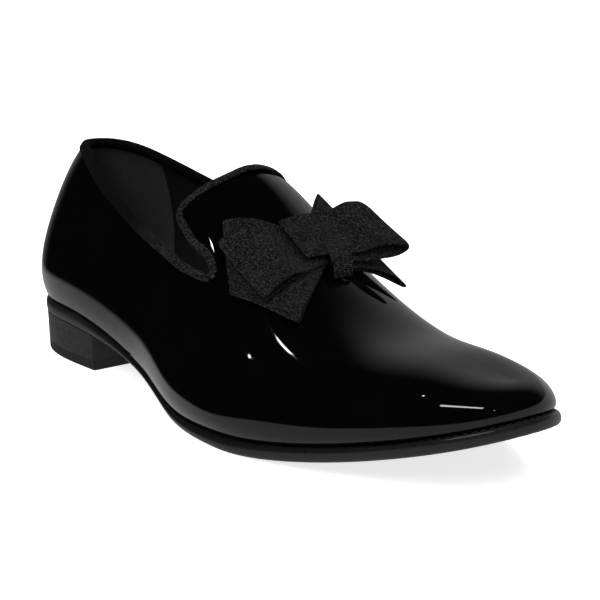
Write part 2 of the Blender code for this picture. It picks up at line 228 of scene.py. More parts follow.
def throat_line(count):
    """Turn and rise along the edge of the opening, from heel line to crest, closest at the slit."""
    rows = np.stack([turn_of(THROAT[:, 0]), np.radians(THROAT[:, 1])], -1)
    before = rows[1:3][::-1] * (-1, 1)
    after = rows[-3:-1][::-1] * (1, -1) + (0, np.pi)
    rows = np.concatenate([before, rows, after])
    along = np.concatenate([[0], np.cumsum(np.linalg.norm(np.diff(rows * FLAT, axis=0), axis=1))])
    slit = along[2 + np.argmax(THROAT[:, 0])]
    fine = np.linspace(along[2], along[-3], 4000)
    dense = np.cumsum(1 + SLIT_EXTRA * np.exp(-((fine - slit) / SLIT_SPREAD)**2))
    t = np.interp(np.linspace(dense[0], dense[-1], count), dense, fine)
    turn, rise = spline(along, rows[:, 0])(t), spline(along, rows[:, 1])(t)
    turn[0], rise[-1] = 0, np.pi / 2
    return turn, rise


def enclosed(outline, points):
    """Which points a closed outline goes round: an odd count of its edges lies to their right."""
    a, b = outline[None], np.roll(outline, -1, 0)[None]
    x, y = points[:, None, 0], points[:, None, 1]
    crosses = (a[..., 1] > y) != (b[..., 1] > y)
    rise = np.where(b[..., 1] == a[..., 1], 1, b[..., 1] - a[..., 1])
    right = x < a[..., 0] + (y - a[..., 1]) / rise * (b[..., 0] - a[..., 0])
    return (crosses & right).sum(1) % 2 == 1


def sheet_normals(points, triangles):
    """Area-weighted normals: the sum of the cross products of a point's triangles."""
    a, b, c = (points[triangles[:, i]] for i in range(3))
    n = np.zeros_like(points)
    np.add.at(n, triangles.ravel(), np.repeat(np.cross(b - a, c - a), 3, axis=0))
    return n / np.linalg.norm(n, axis=1)[:, None]


def wall_of(points, triangles, outer, inner):
    """Closed wall between two offsets of an open sheet, with a rim along its free edges."""
    n = sheet_normals(points, triangles)
    count = len(points)
    edges = np.concatenate([triangles[:, [0, 1]], triangles[:, [1, 2]], triangles[:, [2, 0]]])
    free = edges[~np.isin(edges[:, 0] * count + edges[:, 1], edges[:, 1] * count + edges[:, 0])]
    rim = np.concatenate([np.stack([free[:, 1], free[:, 0], free[:, 0] + count], -1),
                          np.stack([free[:, 1], free[:, 0] + count, free[:, 1] + count], -1)])
    faces = np.concatenate([triangles, triangles[:, ::-1] + count, rim])
    return np.concatenate([points + n * outer, points + n * inner]), faces


def upper_sheet(stations, levels):
    """The lasted surface below the throat: grid points of turn and rise, joined by triangles up to its
    edge on the lateral side, and the same triangles turned round on the medial."""
    turn, rise = throat_line(stations)
    throat = np.stack([turn, rise], -1)
    turns = np.linspace(0, 1, stations)
    rises = np.radians(np.linspace(0, 90, levels))
    heel = rises[1:][rises[1:] < rise[0] - RISE_CLEAR][::-1]
    crown = turns[::-1][1:][turns[::-1][1:] > turn[-1] + TURN_CLEAR]
    edge = np.concatenate([
        np.stack([0 * heel, heel], -1),
        np.stack([turns, 0 * turns], -1),
        np.stack([0 * rises[1:] + 1, rises[1:]], -1),
        np.stack([crown, 0 * crown + rises[-1]], -1),
        throat[::-1],
    ])
    grid = np.stack(np.meshgrid(turns[1:-1], rises[1:-1], indexing="ij"), -1).reshape(-1, 2)
    corner = (np.array([1, rises[-1]]) + [turns[-2], rises[-2]]) / 2
    grid = np.concatenate([grid, corner[None]])
    far = np.concatenate([np.linalg.norm((part[:, None] - throat[None]) * FLAT, axis=2).min(1) > EDGE_CLEAR
                          for part in np.array_split(grid, 12)])
    flat = np.concatenate([edge, grid[far]])
    outline = list(range(len(edge)))
    spots = [Vector(spot) for spot in flat * FLAT]
    _, _, triangles, source, _, _ = delaunay_2d_cdt(spots, [], [outline], 1, 1e-6, True)
    flat = flat[[origin[0] for origin in source]]
    triangles = np.array(triangles)
    opening = np.concatenate([throat, [(0, rises[-1])]])
    centres = flat[triangles].mean(1)
    inside = np.concatenate([enclosed(opening, part) for part in np.array_split(centres, 24)])
    triangles = triangles[~inside]
    used, triangles = np.unique(triangles, return_inverse=True)
    flat, triangles = flat[used], triangles.reshape(-1, 3)
    shared = (flat[:, 0] == 0) | (flat[:, 0] == 1) | (flat[:, 1] == rises[-1])
    other = np.where(shared, np.arange(len(flat)), len(flat) + np.cumsum(~shared) - 1)
    points = np.concatenate([lasted(flat[:, 0], flat[:, 1]), lasted(2 - flat[~shared, 0], flat[~shared, 1])])
    return points, np.concatenate([triangles, other[triangles][:, ::-1]])


class Value:
    """A socket in an expression: each operator adds the Math node that works it out."""

    def __init__(self, tree, socket):
        self.tree, self.socket = tree, socket

    def math(self, operation, first, second=None):
        """A Math node on one or two values or numbers."""
        node = self.tree.nodes.new("ShaderNodeMath")
        node.operation = operation
        for i, item in enumerate((first, second)):
            if isinstance(item, Value):
                self.tree.links.new(item.socket, node.inputs[i])
            elif item is not None:
                node.inputs[i].default_value = item
        return Value(self.tree, node.outputs[0])

    def __add__(self, other):
        return self.math("ADD", self, other)

    def __radd__(self, other):
        return self.math("ADD", other, self)

    def __sub__(self, other):
        return self.math("SUBTRACT", self, other)

    def __rsub__(self, other):
        return self.math("SUBTRACT", other, self)

    def __mul__(self, other):
        return self.math("MULTIPLY", self, other)

    def __rmul__(self, other):
        return self.math("MULTIPLY", other, self)

    def sin(self):
        """Sine of the value, in radians."""
        return self.math("SINE", self)

    def abs(self):
        """The value without its sign."""
        return self.math("ABSOLUTE", self)


class Nodes:
    """A node tree: node() adds any node, its settings first and then its sockets."""

    def __init__(self, tree):
        self.tree = tree

    def fill(self, node, sockets):
        """Link each value to its socket, and set each number or colour on it."""
        for key, item in sockets.items():
            if isinstance(item, Value):
                self.tree.links.new(item.socket, node.inputs[key])
            else:
                node.inputs[key].default_value = item

    def node(self, kind, settings, sockets, output=0):
        """A node of any kind, as the value of one of its outputs."""
        node = self.tree.nodes.new("ShaderNode" + kind)
        for key, item in settings.items():
            setattr(node, key, item)
        self.fill(node, sockets)
        return Value(self.tree, node.outputs[output])

    def ramp(self, value, low, high, start=0.0, end=1.0):
        """Smooth step of a value between two limits."""
        sockets = {"Value": value, "From Min": low, "From Max": high, "To Min": start, "To Max": end}
        return self.node("MapRange", {"interpolation_type": "SMOOTHSTEP"}, sockets)

    def tint(self, factor, first, second):
        """Mix of two colours."""
        node = self.tree.nodes.new("ShaderNodeMix")
        node.data_type = "RGBA"
        self.fill(node, {0: factor, 6: first, 7: second})
        return Value(self.tree, node.outputs[2])


class Finish(Nodes):
    """A material: coat() sets the sockets of its shader."""

    def __init__(self, name):
        self.material = bpy.data.materials.new(name)
        self.material.use_nodes = True
        super().__init__(self.material.node_tree)
        self.shader = self.tree.nodes["Principled BSDF"]

    def place(self):
        """Place in the shared frame, in metres."""
        return self.node("TexCoord", {}, {}, "Object")

    def weave(self):
        """The piece's own millimetres, along and across, from its UV map."""
        spot = self.node("UVMap", {"uv_map": "weave"}, {})
        return [self.node("SeparateXYZ", {}, {"Vector": spot}, axis) for axis in "XY"]

    def along(self, axis):
        """Place on the shoe along one axis, in millimetres from the back of the heel."""
        part = self.node("SeparateXYZ", {}, {"Vector": self.place()}, axis)
        return part * 1000 + float(ORIGIN["XYZ".index(axis)])

    def noise(self, scale, detail=2.0):
        """Soft noise of a scale per metre, between 0 and 1."""
        return self.node("TexNoise", {}, {"Vector": self.place(), "Scale": scale, "Detail": detail}, "Fac")

    def bump(self, height, distance):
        """Normal of a relief whose height of 1 stands a distance in metres."""
        return self.node("Bump", {}, {"Height": height, "Distance": distance}, "Normal")

    def coat(self, **sockets):
        """Set or link the shader's sockets, named with underscores."""
        self.fill(self.shader, {key.replace("_", " "): item for key, item in sockets.items()})


def piece(name, points, faces, finish, uv=None):
    """An object at the origin from points in millimetres on the shoe, smooth shaded, riding on the shoe."""
    mesh = bpy.data.meshes.new(name)
    mesh.from_pydata(((points - ORIGIN) / 1000).tolist(), [], faces.tolist())
    mesh.polygons.foreach_set("use_smooth", np.ones(len(mesh.polygons), bool))
    if uv is not None:
        corners = np.empty(len(mesh.loops), np.int32)
        mesh.loops.foreach_get("vertex_index", corners)
        mesh.uv_layers.new(name="weave").data.foreach_set("uv", uv[corners].astype(np.float32).ravel())
    mesh.materials.append(finish.material)
    mesh.update()
    thing = bpy.data.objects.new(name, mesh)
    bpy.context.scene.collection.objects.link(thing)
    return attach(thing, "root")


patent = Finish("black patent leather")
ripple = patent.noise(38.0, 1.5) + patent.noise(170.0, 1.0) * 0.12
haze = patent.ramp(patent.noise(22.0, 3.0), 0.35, 0.75, 0.02, 0.05)
patent.coat(
    Base_Color=patent.tint(patent.noise(60.0), (0.0006, 0.0006, 0.0007, 1), (0.0012, 0.0012, 0.0013, 1)),
    Roughness=haze,
    IOR=1.45,
    Coat_Weight=0.35,
    Coat_Roughness=0.02,
    Normal=patent.bump(ripple, 0.00003),
)
upper_points, upper_triangles = upper_sheet(190, 60)
upper = piece("upper_patent", *wall_of(upper_points, upper_triangles, 0.0, -PATENT), patent)
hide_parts("upper")


# Lining
# Thin black leather cemented inside the upper, with a paler suede counter lining round the heel.
# A lapped seam joins the two on each side of the foot.
SEAM_X = 40.1
SEAM_HEIGHT = 46.0
SEAM_LEAN = 0.216
CEMENT = 0.1

lining_finish = Finish("lining leather")
seam = lining_finish.along("X") - (lining_finish.along("Z") - SEAM_HEIGHT) * SEAM_LEAN
front = lining_finish.ramp(seam, SEAM_X - 0.5, SEAM_X + 0.5)
lap = lining_finish.ramp((seam - SEAM_X).abs(), 0.4, 1.3, 1.0, 0.0)
nap = lining_finish.noise(900.0, 3.0)
grain = lining_finish.noise(420.0, 4.0)
lining_tone = lining_finish.tint(nap, (0.038, 0.038, 0.039, 1), (0.070, 0.070, 0.0715, 1))
front_tone = lining_finish.tint(grain, (0.008, 0.008, 0.0083, 1), (0.016, 0.016, 0.0165, 1))
lining_finish.coat(
    Base_Color=lining_finish.tint(front, lining_tone, front_tone),
    Roughness=0.78 - 0.28 * front,
    Normal=lining_finish.bump(grain * 0.25 + nap * 0.15 - front * 0.5 - lap * 0.5, 0.0004),
)
lining_points, lining_triangles = upper_sheet(130, 40)
lining = piece("lining", *wall_of(lining_points, lining_triangles, -PATENT - CEMENT, -WALL), lining_finish)


# Insole
# A padded leather sock over the insole board, cut just inside the wall of the upper.
# Its edge is turned under, so the top rolls off softly all round.
INSOLE = 2.5
INSOLE_CLEAR = 0.7
# Radius of the rolled edge, and the share of the height where it starts
ROLL = 1.4
ROLL_FROM = 0.45


def welt(x):
    """Reach of the outsole past the feather line, straight between the table's rows: least at the waist,
    a narrow shelf round the forepart."""
    return np.interp(x, SOLE_EDGE[:, 0], SOLE_EDGE[:, 1])


def tuck(x):
    """How far the outsole's lower edge draws in, straight between the table's rows: most at the waist."""
    return np.interp(x, SOLE_EDGE[:, 0], SOLE_EDGE[:, 2])


def outline(count):
    """Closed feather outline, its outward direction, the middle line between its two sides and each
    point's mate on the other side."""
    turn = np.concatenate([np.linspace(0, 1, count), np.linspace(1, 0, count)[1:-1]])
    side = np.concatenate([np.full(count, -1.0), np.full(count - 2, 1.0)])
    line = feather(side, turn)
    mate = -np.arange(len(turn)) % len(turn)
    return line[:, :2], outward(side, turn), (medial(turn) - lateral(turn)) / 2, mate


def ring_faces(rows, columns):
    """Quads of a grid whose columns close into a ring."""
    i, j = np.meshgrid(np.arange(rows - 1), np.arange(columns), indexing="ij")
    k = (j + 1) % columns
    low, high = i * columns, (i + 1) * columns
    return np.stack([low + j, low + k, high + k, high + j], -1).reshape(-1, 4)


def merged(thing):
    """Close the seams and poles of a piece: points on one spot become one, and empty faces go."""
    work = bmesh.new()
    work.from_mesh(thing.data)
    bmesh.ops.remove_doubles(work, verts=work.verts, dist=1e-6)
    bmesh.ops.dissolve_degenerate(work, edges=work.edges, dist=1e-7)
    bmesh.ops.recalc_face_normals(work, faces=work.faces)
    work.to_mesh(thing.data)
    work.free()
    return thing


def stacked(rows, line, out, middle, mate, reach, level):
    """Outlines set one on another: a row starts with its spread, 0 on the middle line and 1 on the edge,
    and reach and level give how far out and how high it lies at each station."""
    rings = []
    for row in rows:
        plan = line + out * reach(row, line[:, 0])[:, None]
        centre = np.stack([(plan[:, 0] + plan[mate, 0]) / 2, middle], -1)
        spot = centre + (plan - centre) * row[0]
        rings.append(np.column_stack([spot, level(row, line[:, 0])]))
    return np.concatenate(rings), ring_faces(len(rows), len(line))


sock_finish = Finish("sock leather")
pores = sock_finish.noise(700.0, 3.0)
wear = sock_finish.noise(30.0, 2.0)
sock_finish.coat(
    Base_Color=sock_finish.tint(wear, (0.018, 0.018, 0.019, 1), (0.034, 0.033, 0.033, 1)),
    Roughness=sock_finish.ramp(pores, 0.3, 0.7, 0.5, 0.7),
    Normal=sock_finish.bump(pores, 0.0003),
)
quarter = np.linspace(0, np.pi / 2, 7)
# Rows from below to above: spread, how far the edge draws in, share of the height
insole_rows = ([(s, 0.0, 0.0) for s in (0, 0.5, 0.9, 1)] + [(1, 0.0, ROLL_FROM)]
               + [(1, ROLL * (1 - np.cos(a)), ROLL_FROM + (1 - ROLL_FROM) * np.sin(a)) for a in quarter[1:]]
               + [(s, ROLL, 1.0) for s in (0.9, 0.5, 0)])
insole = merged(piece("insole_sock", *stacked(
    insole_rows, *outline(160),
    lambda row, x: -WALL - INSOLE_CLEAR - row[1] + 0 * x,
    lambda row, x: underside(x) + thickness(x) + row[2] * INSOLE), sock_finish))
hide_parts("insole")


# Outsole
# A single leather sole, its edge trimmed, rounded and burnished black, thin and tucked in at the waist.
# The tread is buffed leather, a little browner than the edge.
GAP = 0.3
ROUNDED = 1.5
SEAT_ENDS = (56.0, 72.0)
# Share of the tuck below, or of the rounding above, that draws the edge in, and its height
EDGE = [(1.0, 0.0), (0.45, 0.08), (0.12, 0.20), (0.0, 0.34), (0.0, 0.50), (0.05, 0.63), (0.16, 0.75),
        (0.34, 0.85), (0.60, 0.93), (1.0, 1.0)]

sole_finish = Finish("burnished sole leather")
normal = sole_finish.node("NewGeometry", {}, {}, "Normal")
facing = sole_finish.node("SeparateXYZ", {}, {"Vector": normal}, "Z")
tread = sole_finish.ramp(facing, -0.9, -0.7, 1.0, 0.0)
fibre = sole_finish.noise(260.0, 4.0)
scuff = sole_finish.ramp(sole_finish.noise(45.0, 5.0), 0.45, 0.75)
edge_tone = sole_finish.tint(fibre, (0.005, 0.005, 0.005, 1), (0.009, 0.009, 0.0088, 1))
seat = sole_finish.ramp(sole_finish.along("X"), *SEAT_ENDS, 1.0, 0.0)
edge_tone = sole_finish.tint(seat, edge_tone, (0.011, 0.0108, 0.0108, 1))
tread_tone = sole_finish.tint(scuff, (0.012, 0.011, 0.010, 1), (0.035, 0.031, 0.028, 1))
sole_finish.coat(
    Base_Color=sole_finish.tint(tread, edge_tone, tread_tone),
    Roughness=sole_finish.ramp(fibre, 0.3, 0.7, 0.27, 0.31) + 0.3 * tread + 0.12 * seat,
    Normal=sole_finish.bump((fibre * 0.6 + scuff * 0.5) * tread, 0.00012),
)
# Rows from below to above: spread, share of tuck or rounding, share of the thickness
sole_rows = ([(s, 1.0, 0.0) for s in (0, 0.35, 0.7, 0.93)] + [(1, drawn, height) for drawn, height in EDGE]
             + [(s, 1.0, 1.0) for s in (0.93, 0.6, 0)])
outsole = merged(piece("outsole_leather", *stacked(
    sole_rows, *outline(200),
    lambda row, x: welt(x) - row[1] * np.where(row[2] < 0.5, tuck(x), ROUNDED),
    lambda row, x: underside(x) + row[2] * (thickness(x) - GAP)), sole_finish))
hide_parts("outsole")


# Welt stitching
# Waxed thread sunk in a channel on the shelf of the outsole, from the waist round the toe.
# Each stitch is a short pad of thread, humped in the middle.
STITCH = 2.1
STITCH_WIDTH = 0.5
STITCH_HEIGHT = 0.4
STITCH_PITCH = 3.0
STITCH_FROM = 118.0
# Share of the welt where the channel runs, and how far the thread's middle lies below its shelf
CHANNEL = 0.16
SUNK = 0.02


def stitches(middles, along, over, length, width, height):
    """One small pad a stitch: an ellipse carried along its length, closing to a point at both ends."""
    run = np.linspace(-1, 1, 7)
    turn = np.linspace(0, 2 * np.pi, 7)[:-1]
    swell = np.sqrt(np.clip(1 - run**4, 0, 1))
    beside = np.cross(over, along)
    a = (run * length / 2)[None, :, None, None] * along[:, None, None]
    b = (swell[:, None] * np.cos(turn) * width / 2)[None, ..., None] * beside[:, None, None]
    c = (swell[:, None] * np.sin(turn) * height / 2)[None, ..., None] * over[:, None, None]
    pads = middles[:, None, None] + a + b + c
    count, rows, columns = pads.shape[:3]
    faces = ring_faces(rows, columns)
    starts = (np.arange(count) * rows * columns)[:, None, None]
    return pads.reshape(-1, 3), (faces[None] + starts).reshape(-1, 4)


def spaced(line, pitch):
    """Places at an even pitch along a line of points, and the line's direction there."""
    run = np.concatenate([[0], np.cumsum(np.linalg.norm(np.diff(line, axis=0), axis=1))])
    at = np.arange(pitch / 2, run[-1], pitch)
    spots = np.stack([np.interp(at, run, line[:, i]) for i in range(3)], -1)
    ahead = np.stack([np.interp(at + pitch / 4, run, line[:, i]) for i in range(3)], -1)
    along = ahead - np.stack([np.interp(at - pitch / 4, run, line[:, i]) for i in range(3)], -1)
    return spots, along / np.linalg.norm(along, axis=1)[:, None]


def channel(side, turn):
    """Middle line of the thread: the feather line moved out over the welt and down to its shelf."""
    line = feather(side, turn)
    line[:, :2] += outward(side, turn) * (welt(x_of(turn)) * CHANNEL)[:, None]
    line[:, 2] -= GAP + SUNK
    return line


thread_finish = Finish("waxed thread")
twist = thread_finish.noise(1500.0, 2.0)
thread_finish.coat(
    Base_Color=thread_finish.tint(twist, (0.006, 0.006, 0.0062, 1), (0.016, 0.016, 0.0165, 1)),
    Roughness=0.55,
    Normal=thread_finish.bump(twist, 0.0002),
)
turn = np.linspace(turn_of(STITCH_FROM), 1, 500)
outer_line, inner_line = (channel(np.full_like(turn, side), turn) for side in (-1.0, 1.0))
spots, along = spaced(np.concatenate([outer_line, inner_line[::-1][1:]]), STITCH_PITCH)
over = np.cross(along, np.cross([0.0, 0.0, 1.0], along))
over /= np.linalg.norm(over, axis=1)[:, None]
pads = stitches(spots, along, over, STITCH, STITCH_WIDTH, STITCH_HEIGHT)
welt_thread = merged(piece("welt_stitches", *pads, thread_finish))


# Heel
# A stack of leather lifts under the seat, trimmed to one block and burnished, over a rubber top piece.
# Fine lines show where the lifts meet.
HEEL_LENGTH = 67.0
HEEL_TAPER = 0.4
LIFTS = 4
TOP_PIECE = 4.3
LAYER = 1.3
BREAST_OUT = 0.35
# How far each lift's edge draws in, by height on the lift
GROOVE = [(0.0, 0.03), (0.0, 0.07), (0.0, 0.93), (0.0, 0.97), (0.05, 0.985), (0.05, 1.0)]

heel_finish = Finish("stacked heel")
z = heel_finish.along("Z")
layers = (z * (2 * np.pi / LAYER) + heel_finish.noise(60.0, 2.0) * 2.0).sin()
line_mask = heel_finish.ramp(layers, 0.82, 1.0)
rubber = heel_finish.ramp(z, TOP_PIECE - 0.1, TOP_PIECE + 0.1, 1.0, 0.0)
speckle = heel_finish.noise(330.0, 3.0)
lift_tone = heel_finish.tint(speckle, (0.006, 0.0058, 0.0058, 1), (0.011, 0.0107, 0.0107, 1))
lined_tone = heel_finish.tint(line_mask * 0.8, lift_tone, (0.003, 0.003, 0.003, 1))
heel_finish.coat(
    Base_Color=heel_finish.tint(rubber * 0.5, lined_tone, (0.006, 0.006, 0.006, 1)),
    Specular_IOR_Level=0.4,
    Roughness=heel_finish.ramp(speckle, 0.3, 0.7, 0.38, 0.50) + 0.18 * rubber,
    Normal=heel_finish.bump(speckle * 0.15 - line_mask * 0.5, 0.00016),
)
back = turn_of(np.linspace(1, 0, 90)**1.6 * HEEL_LENGTH)
heel_turn = np.concatenate([back, back[::-1][1:]])
heel_side = np.where(np.arange(len(heel_turn)) < len(back), -1.0, 1.0)
heel_plan = feather(heel_side, heel_turn)[:, :2]
heel_out = outward(heel_side, heel_turn)
share = np.linspace(0, 1, 26)[1:-1, None]
breast = heel_plan[-1] * (1 - share) + heel_plan[0] * share
heel_plan = np.concatenate([heel_plan, breast])
heel_out = np.concatenate([heel_out, np.repeat([[BREAST_OUT, 0.0]], len(breast), 0)])
heel_middle = (medial(turn_of(heel_plan[:, 0])) - lateral(turn_of(heel_plan[:, 0]))) / 2
heel_mate = np.concatenate([np.arange(len(heel_turn))[::-1], np.arange(len(heel_turn), len(heel_plan))])
# Rows from below to above: spread, how far the edge draws in, share of the height
heel_rows = [(s, 0.5, 0.0) for s in (0, 0.5, 0.95)] + [(1, 0.6, 0.0), (1, 0.2, 0.012)]
for lift in range(LIFTS):
    heel_rows += [(1, drawn, (lift + at) / LIFTS) for drawn, at in GROOVE]
heel_rows += [(s, 0.3, 1.0) for s in (0.95, 0.5, 0)]
heel_block = merged(piece("heel_stack", *stacked(
    heel_rows, heel_plan, heel_out, heel_middle, heel_mate,
    lambda row, x: welt(x) - tuck(x) - HEEL_TAPER * (1 - row[2]) - row[1],
    lambda row, x: row[2] * (underside(x) - GAP)), heel_finish))
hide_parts("heel")


# Topline binding
# Grosgrain ribbon folded over the raw edge of the opening and stitched down on both faces.
# Its ribs run across the edge, and it turns tightly round the foot of the slit.
BINDING = 0.7
BINDING_LEG = 2.6
LEG_STEPS = 4
LINING_ROOM = 0.2
# Share of the thickness left at the selvedge; how far the fold stands off the edge, and its depth
SELVEDGE = 0.7
FOLD_OFF = 0.15
FOLD_DEPTH = 0.95
BINDING_RIB = 0.85
BINDING_DARK = (0.0008, 0.0008, 0.0009, 1)
BINDING_PALE = (0.068, 0.068, 0.069, 1)


def frame_on(ring, rise):
    """Point, the two slopes and the outward normal of the last, by central differences."""
    step = 1e-4
    du = (wrapped(ring + step, rise) - wrapped(ring - step, rise)) / (2 * step)
    ds = (wrapped(ring, rise + step) - wrapped(ring, rise - step)) / (2 * step)
    n = np.cross(du, ds)
    n /= np.linalg.norm(n, axis=-1)[..., None]
    return wrapped(ring, rise), du, ds, n


def moved_on(ring, rise, shift):
    """Ring and rise after a small step along the last, solved in its two slopes."""
    _, du, ds, _ = frame_on(ring, rise)
    a, b, c = (du * du).sum(-1), (du * ds).sum(-1), (ds * ds).sum(-1)
    e, f = (du * shift).sum(-1), (ds * shift).sum(-1)
    det = a * c - b * b
    return ring + (c * e - b * f) / det, rise + (a * f - b * e) / det


def grosgrain(name, rib):
    """Ribbed ribbon with a dull sheen, and a colour factor from its relief: painted shade, 0 in the gaps
    of the weave and 1 on the ribs, over a random tone from the slubs. The relief is sines along and
    across the ribbon for weft and warp, broken up by the noise of the slubs."""
    finish = Finish(name)
    along, across = finish.weave()
    drift = finish.noise(90.0, 2.0) * 2.1
    ribs = (along * (2 * np.pi / rib) + drift).sin()
    warp = (across * (2 * np.pi / (rib * 0.8)) + ribs * 0.8).sin()
    slub = finish.noise(1250.0, 2.0) - 0.5
    height = ribs * 0.45 + warp * 0.3 + slub * 5.0
    finish.coat(
        Roughness=0.8,
        Specular_IOR_Level=0.06,
        Sheen_Weight=0.008,
        Sheen_Roughness=0.4,
        Normal=finish.bump(height, 0.00026),
    )
    return finish, finish.ramp(height, -0.7, 2.4)


# Painted shade: the binding's colour is darker in the gaps of its weave, paler on ribs and slubs.
binding_finish, slub_and_weave_shade = grosgrain("binding grosgrain", BINDING_RIB)
# Painted shade: behind the throat the binding darkens toward the heel, to a tenth of its colour by x = 84
# mm.
painted_shade_toward_heel = binding_finish.ramp(binding_finish.along("X"), 84.0, 118.0, 0.10, 1.0)
binding_finish.coat(Base_Color=binding_finish.tint(slub_and_weave_shade * painted_shade_toward_heel, BINDING_DARK, BINDING_PALE))
turn, rise = throat_line(300)
ring = np.concatenate([turn, (2 - turn)[::-1][1:-1]])
rise = np.concatenate([rise, rise[::-1][1:-1]])
edge, _, _, edge_out = frame_on(ring, rise)
run = np.roll(edge, -1, 0) - np.roll(edge, 1, 0)
run /= np.linalg.norm(run, axis=1)[:, None]
into = np.cross(run, edge_out)
legs = [(edge, edge_out)]
leg_ring, leg_rise = ring, rise
for _ in range(LEG_STEPS):
    leg_ring, leg_rise = moved_on(leg_ring, leg_rise, into * BINDING_LEG / LEG_STEPS)
    spot, _, _, out = frame_on(leg_ring, leg_rise)
    legs.append((spot, out))
near_face, far_face = GAP, -WALL - GAP - LINING_ROOM
hem, hem_out = legs[-1]
section = [hem + hem_out * near_face, hem + hem_out * (near_face + BINDING * SELVEDGE)]
section += [spot + out * (near_face + BINDING) for spot, out in legs[-2:0:-1]]
fold = np.linspace(0, np.pi, 9)
centre, radius = (near_face + far_face) / 2, (near_face - far_face) / 2 + BINDING
section += [edge - into * (FOLD_OFF + FOLD_DEPTH * np.sin(a)) + edge_out * (centre + radius * np.cos(a))
            for a in fold]
section += [spot + out * (far_face - BINDING) for spot, out in legs[1:-1]]
section += [hem + hem_out * (far_face - BINDING * SELVEDGE), hem + hem_out * far_face]
section += [edge - into * GAP + edge_out * far_face, edge - into * GAP + edge_out * near_face]
rows, columns = len(section), len(edge)
binding_points = np.concatenate(section)
length = np.linalg.norm(np.roll(edge, -1, 0) - edge, axis=1)
run_on = np.concatenate([[0], np.cumsum(length)[:-1]])
widths = [np.linalg.norm(b - a, axis=1).mean() for a, b in zip(section, section[1:])]
girth = np.concatenate([[0], np.cumsum(widths)])
binding_uv = np.stack(np.broadcast_arrays(run_on[None], girth[:, None]), -1).reshape(-1, 2)
here = np.arange(columns)
following = np.roll(here, -1)
top_row = (rows - 1) * columns
closing = np.stack([top_row + here, top_row + following, following, here], -1)
binding_faces = np.concatenate([ring_faces(rows, columns), closing])
binding = piece("binding_ribbon", binding_points, binding_faces, binding_finish, binding_uv)
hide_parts("topline_binding")


# Ribbon bow
# Two flat grosgrain ribbons laid crosswise and folded into four loops, the upper pair standing open.
# They gather at the knot and lie on the vamp behind the toe.
RIBBON = 0.6
BOW_RIB = 0.80
BOW_DARK = (0.0005, 0.0005, 0.0006, 1)
BOW_PALE = (0.064, 0.064, 0.0648, 1)
GATHER = 0.2
GATHERS = 5
CORNER_POWER = 10
# How far past the crest the ribbon leaves the vamp, and the share of a loop that bends round its tip
LEAVES_AT = 3.0
BEND = 0.2
# Ribbon's ends at the knot, back then front; line of the fold at the tip; lift at the knot and at both
# ends of the fold; half opening at knot and tip; sag by the square past the crest; overrun on top; how far
# the lower layer's front edge bows out; rounding of the fold's corners
LOOPS = {
    "bow_lower_lateral": (((164, 5), (181, 3)), ((139.6, -13.2), (166.6, -29.3), (200.2, -24.4)),
                          (1.05, 1.9, 1.9), (0.45, 0.95), 0, 0, 0, 0.012),
    "bow_lower_medial": (((164, 7), (183, 6)), ((146, 26), (166, 31.5), (190, 35)),
                         (1.05, 2.9, 1.9), (0.45, 1.1), 0.012, 0, 0, 0.012),
    "bow_upper_lateral": (((163, 4), (181, 4)), ((148, -19.7), (166.5, -23.2), (185, -26.5)),
                          (2.4, 5.6, 5.6), (0.45, 1.3), 0, 0, 0, 0.012),
    "bow_upper_medial": (((159.2, 7), (180, 7)), ((162.7, 32), (174.2, 35.5), (185.7, 39)),
                         (4.3, 9.8, 6.8), (1.05, 2.1), 0, 0.34, 3.0, 0.05),
}


def vamp(x, y):
    """Ring and rise of the place on the vamp above a point of the plan, by Newton steps."""
    ring = np.where(y < ridge_y(x), turn_of(x), 2 - turn_of(x))
    rise = np.full(np.shape(x), 1.2)
    for _ in range(30):
        p, du, ds, _ = frame_on(ring, rise)
        ex, ey = x - p[..., 0], y - p[..., 1]
        det = du[..., 0] * ds[..., 1] - du[..., 1] * ds[..., 0]
        det = np.where(np.abs(det) < 1e-6, 1e-6, det)
        ring = ring + np.clip((ex * ds[..., 1] - ey * ds[..., 0]) / det, -0.03, 0.03)
        rise = rise + np.clip((du[..., 0] * ey - du[..., 1] * ex) / det, -0.15, 0.15)
    return ring, rise


def on_vamp(x, y, lift, hang=0.0):
    """Place above the vamp by a lift along its normal; past the crest the stiff ribbon runs on level."""
    past = np.clip(y - ridge_y(x) - LEAVES_AT, 0, None)
    p, _, _, n = frame_on(*vamp(x, y - past))
    run_on = np.stack([0 * past, past, -hang * past**2], -1)
    return p + run_on + n * np.asarray(lift)[..., None]


def grid_triangles(rows, columns):
    """Two triangles for each cell of an open grid."""
    i, j = np.meshgrid(np.arange(rows - 1), np.arange(columns - 1), indexing="ij")
    a = (i * columns + j).ravel()
    return np.concatenate([np.stack([a, a + 1, a + columns + 1], -1),
                           np.stack([a, a + columns + 1, a + columns], -1)])


def ribbon_uv(sheet):
    """Millimetres along the ribbon, measured on its middle line, and across it."""
    middle = sheet[:, sheet.shape[1] // 2]
    along = np.concatenate([[0], np.cumsum(np.linalg.norm(np.diff(middle, axis=0), axis=1))])
    across = np.concatenate([np.zeros((len(sheet), 1)),
                             np.cumsum(np.linalg.norm(np.diff(sheet, axis=1), axis=2), axis=1)], 1)
    uv = np.stack(np.broadcast_arrays(along[:, None], across), -1).reshape(-1, 2)
    return np.concatenate([uv, uv])


